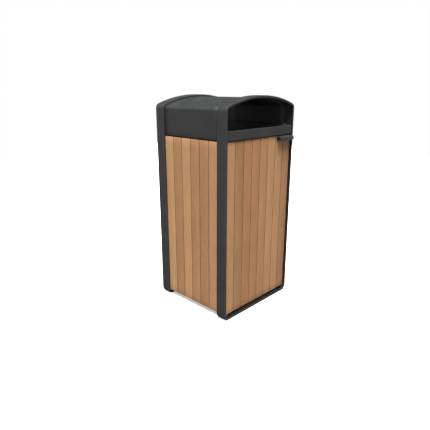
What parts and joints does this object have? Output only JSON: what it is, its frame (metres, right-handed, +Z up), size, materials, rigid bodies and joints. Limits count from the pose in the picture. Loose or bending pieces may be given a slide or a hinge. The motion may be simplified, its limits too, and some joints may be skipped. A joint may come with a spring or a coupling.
{
  "type": "litter bin",
  "caption": "Timber-clad litter bin enclosure with two steel hoops, an arched hood open at both ends, a side-hung door and a wheeled inner bin.",
  "frame": {"origin": "on the ground, at the centre of the four anchor holes", "axes": "+Z up, the door and the front chute mouth face -Y, +X to the right seen from the front is the latch side"},
  "size_m": [0.64, 0.618, 1.3459],
  "materials": {
    "powder_coat": "fine-textured satin powder coat, charcoal",
    "timber": "oiled hardwood, vertical grain",
    "zinc_plated": "zinc plated steel",
    "bush_nylon": "natural nylon",
    "buffer_rubber": "black rubber",
    "bin_plastic": "dark green moulded polyethylene",
    "wheel_rubber": "black rubber tread on a moulded wheel"
  },
  "bodies": {
    "root": {"front_hoop": "powder_coat", "rear_hoop": "powder_coat", "hood_shell": "powder_coat", "front_sill": "powder_coat", "rear_sill": "powder_coat", "chute_plate": "powder_coat", "floor_plate": "powder_coat", "left_slat_1": "timber", "left_slat_2": "timber", "left_slat_3": "timber", "left_slat_4": "timber", "left_slat_5": "timber", "left_slat_6": "timber", "left_bottom_rail": "powder_coat", "left_middle_rail": "powder_coat", "left_top_rail": "powder_coat", "right_slat_1": "timber", "right_slat_2": "timber", "right_slat_3": "timber", "right_slat_4": "timber", "right_slat_5": "timber", "right_slat_6": "timber", "right_bottom_rail": "powder_coat", "right_middle_rail": "powder_coat", "right_top_rail": "powder_coat", "rear_slat_1": "timber", "rear_slat_2": "timber", "rear_slat_3": "timber", "rear_slat_4": "timber", "rear_slat_5": "timber", "rear_slat_6": "timber", "rear_slat_7": "timber", "rear_slat_8": "timber", "rear_bottom_rail": "powder_coat", "rear_middle_rail": "powder_coat", "rear_top_rail": "powder_coat", "pivot_bracket": "powder_coat", "hinge_pins": "zinc_plated", "latch_housing": "powder_coat", "door_buffers": "buffer_rubber", "cladding_screws": "zinc_plated", "rail_bolts": "zinc_plated", "panel_screws": "zinc_plated", "bin_body": "bin_plastic", "bin_axle": "zinc_plated"},
    "door": {"door_slat_1": "timber", "door_slat_2": "timber", "door_slat_3": "timber", "door_slat_4": "timber", "door_slat_5": "timber", "door_slat_6": "timber", "door_slat_7": "timber", "door_slat_8": "timber", "door_frame": "powder_coat", "door_pull": "powder_coat", "hinge_bushes": "bush_nylon", "door_screws": "zinc_plated"},
    "drop_bolt": {"latch_bolt": "zinc_plated"},
    "left_wheel": {"bin_wheel_left": "wheel_rubber"},
    "right_wheel": {"bin_wheel_right": "wheel_rubber"}
  },
  "joints": [
    {"name": "door_swing", "type": "hinge", "parent": "root", "child": "door", "pos_m": [-0.29, -0.279, 0], "axis": [0, 0, -1], "range_deg": [0, 105]},
    {"name": "bolt_drop", "type": "slide", "parent": "root", "child": "drop_bolt", "axis": [0, 0, -1], "range_m": [0, 0.016]},
    {"name": "left_wheel_spin", "type": "hinge", "parent": "root", "child": "left_wheel", "pos_m": [-0.21, -0.139, 0.1183], "axis": [1, 0, 0], "continuous": true},
    {"name": "right_wheel_spin", "type": "hinge", "parent": "root", "child": "right_wheel", "pos_m": [0.21, -0.139, 0.1183], "axis": [1, 0, 0], "continuous": true}
  ]
}
